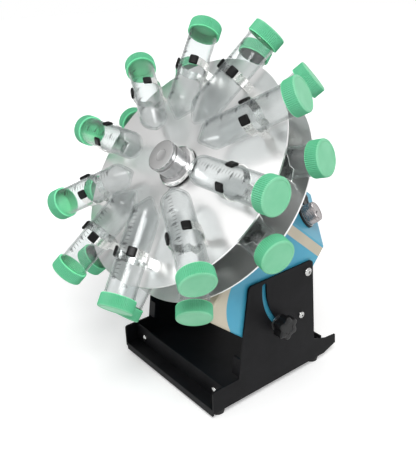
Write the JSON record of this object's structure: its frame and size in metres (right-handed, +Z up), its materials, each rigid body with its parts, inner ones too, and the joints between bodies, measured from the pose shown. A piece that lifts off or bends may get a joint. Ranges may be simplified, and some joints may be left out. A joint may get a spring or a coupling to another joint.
{
  "type": "tube rotator",
  "caption": "Bench rotator: coaxial discs of clipped sample tubes spin on a motor housing that tilts and clamps between the plates of a steel base.",
  "frame": {"origin": "middle of the outline in plan, on the surface that the feet stand on", "axes": "+Z up; -Y is the side the discs face; +X is the side with the speed knob and the tilt clamp"},
  "size_m": [0.321, 0.2964, 0.3954],
  "materials": {
    "foot_rubber": "matt",
    "tip_rubber": "soft vinyl",
    "clear_tube": "clear moulded",
    "green_cap": "moulded",
    "black_coat": "satin powder coat",
    "bright_screw": "plated",
    "spring_steel": "bright rolled",
    "disc_metal": "spun satin",
    "blue_paint": "satin",
    "cream_paint": "satin",
    "black_plastic": "moulded",
    "turned_steel": "turned",
    "polished_metal": "polished",
    "knob_metal": "satin",
    "motor_case": "cast",
    "bush_brass": "turned"
  },
  "bodies": {
    "base": {"foot_front_left": "foot_rubber", "foot_rear_left": "foot_rubber", "foot_front_right": "foot_rubber", "foot_rear_right": "foot_rubber", "base_plate": "black_coat", "side_plate_left": "black_coat", "side_plate_right": "black_coat", "flange_screws": "bright_screw", "pivot_screws": "bright_screw", "plate_screw": "bright_screw"},
    "housing": {"housing_chassis": "cream_paint", "lower_shell": "blue_paint", "upper_hood": "blue_paint", "rear_panel": "cream_paint", "power_jack": "black_plastic", "gear_motor": "motor_case", "front_bearing": "bush_brass", "pivot_bushes": "bush_brass", "clamp_nut": "bush_brass", "knob_bezel": "polished_metal", "switch_bezel": "black_plastic"},
    "rotor": {"rear_hub": "turned_steel", "front_disc": "disc_metal", "front_clips": "spring_steel", "front_clip_tips": "tip_rubber", "front_caps": "green_cap", "front_tube_01": "clear_tube", "front_tube_02": "clear_tube", "front_tube_03": "clear_tube", "front_tube_04": "clear_tube", "front_tube_05": "clear_tube", "front_tube_06": "clear_tube", "front_tube_07": "clear_tube", "front_tube_08": "clear_tube", "front_tube_09": "clear_tube", "front_tube_10": "clear_tube", "rear_disc": "disc_metal", "rear_clips": "spring_steel", "rear_clip_tips": "tip_rubber", "rear_caps": "green_cap", "rear_tube_01": "clear_tube", "rear_tube_02": "clear_tube", "rear_tube_03": "clear_tube", "rear_tube_04": "clear_tube", "rear_tube_05": "clear_tube", "rear_tube_06": "clear_tube", "rear_tube_07": "clear_tube", "rear_tube_08": "clear_tube", "rear_tube_09": "clear_tube", "rear_tube_10": "clear_tube", "drive_shaft": "turned_steel", "disc_spacer": "turned_steel", "hub_flange": "polished_metal", "hub_knob": "polished_metal"},
    "clamp": {"clamp_knob": "black_plastic", "clamp_washer": "turned_steel"},
    "speed_knob": {"speed_knob": "knob_metal"},
    "power_switch": {"power_switch": "black_plastic"}
  },
  "joints": [
    {"name": "housing_tilt", "type": "hinge", "parent": "base", "child": "housing", "pos_m": [0, 0.08617, 0.1299], "axis": [-1, 0, 0], "range_deg": [-20, 50]},
    {"name": "rotor_spin", "type": "hinge", "parent": "housing", "child": "rotor", "pos_m": [0, -0.01908, 0.25229], "axis": [0, -0.766, 0.6428], "continuous": true},
    {"name": "clamp_turn", "type": "hinge", "parent": "housing", "child": "clamp", "pos_m": [0.0864, 0.04102, 0.08314], "axis": [1, 0, 0], "range_deg": [0, 180]},
    {"name": "speed_turn", "type": "hinge", "parent": "housing", "child": "speed_knob", "pos_m": [0.06532, 0.10161, 0.18454], "axis": [0.7071, 0.4545, 0.5417], "range_deg": [-140, 140]},
    {"name": "switch_rock", "type": "hinge", "parent": "housing", "child": "power_switch", "pos_m": [0.04411, 0.11941, 0.19176], "axis": [0, 0.766, -0.6428], "range_deg": [-20, 0]}
  ]
}
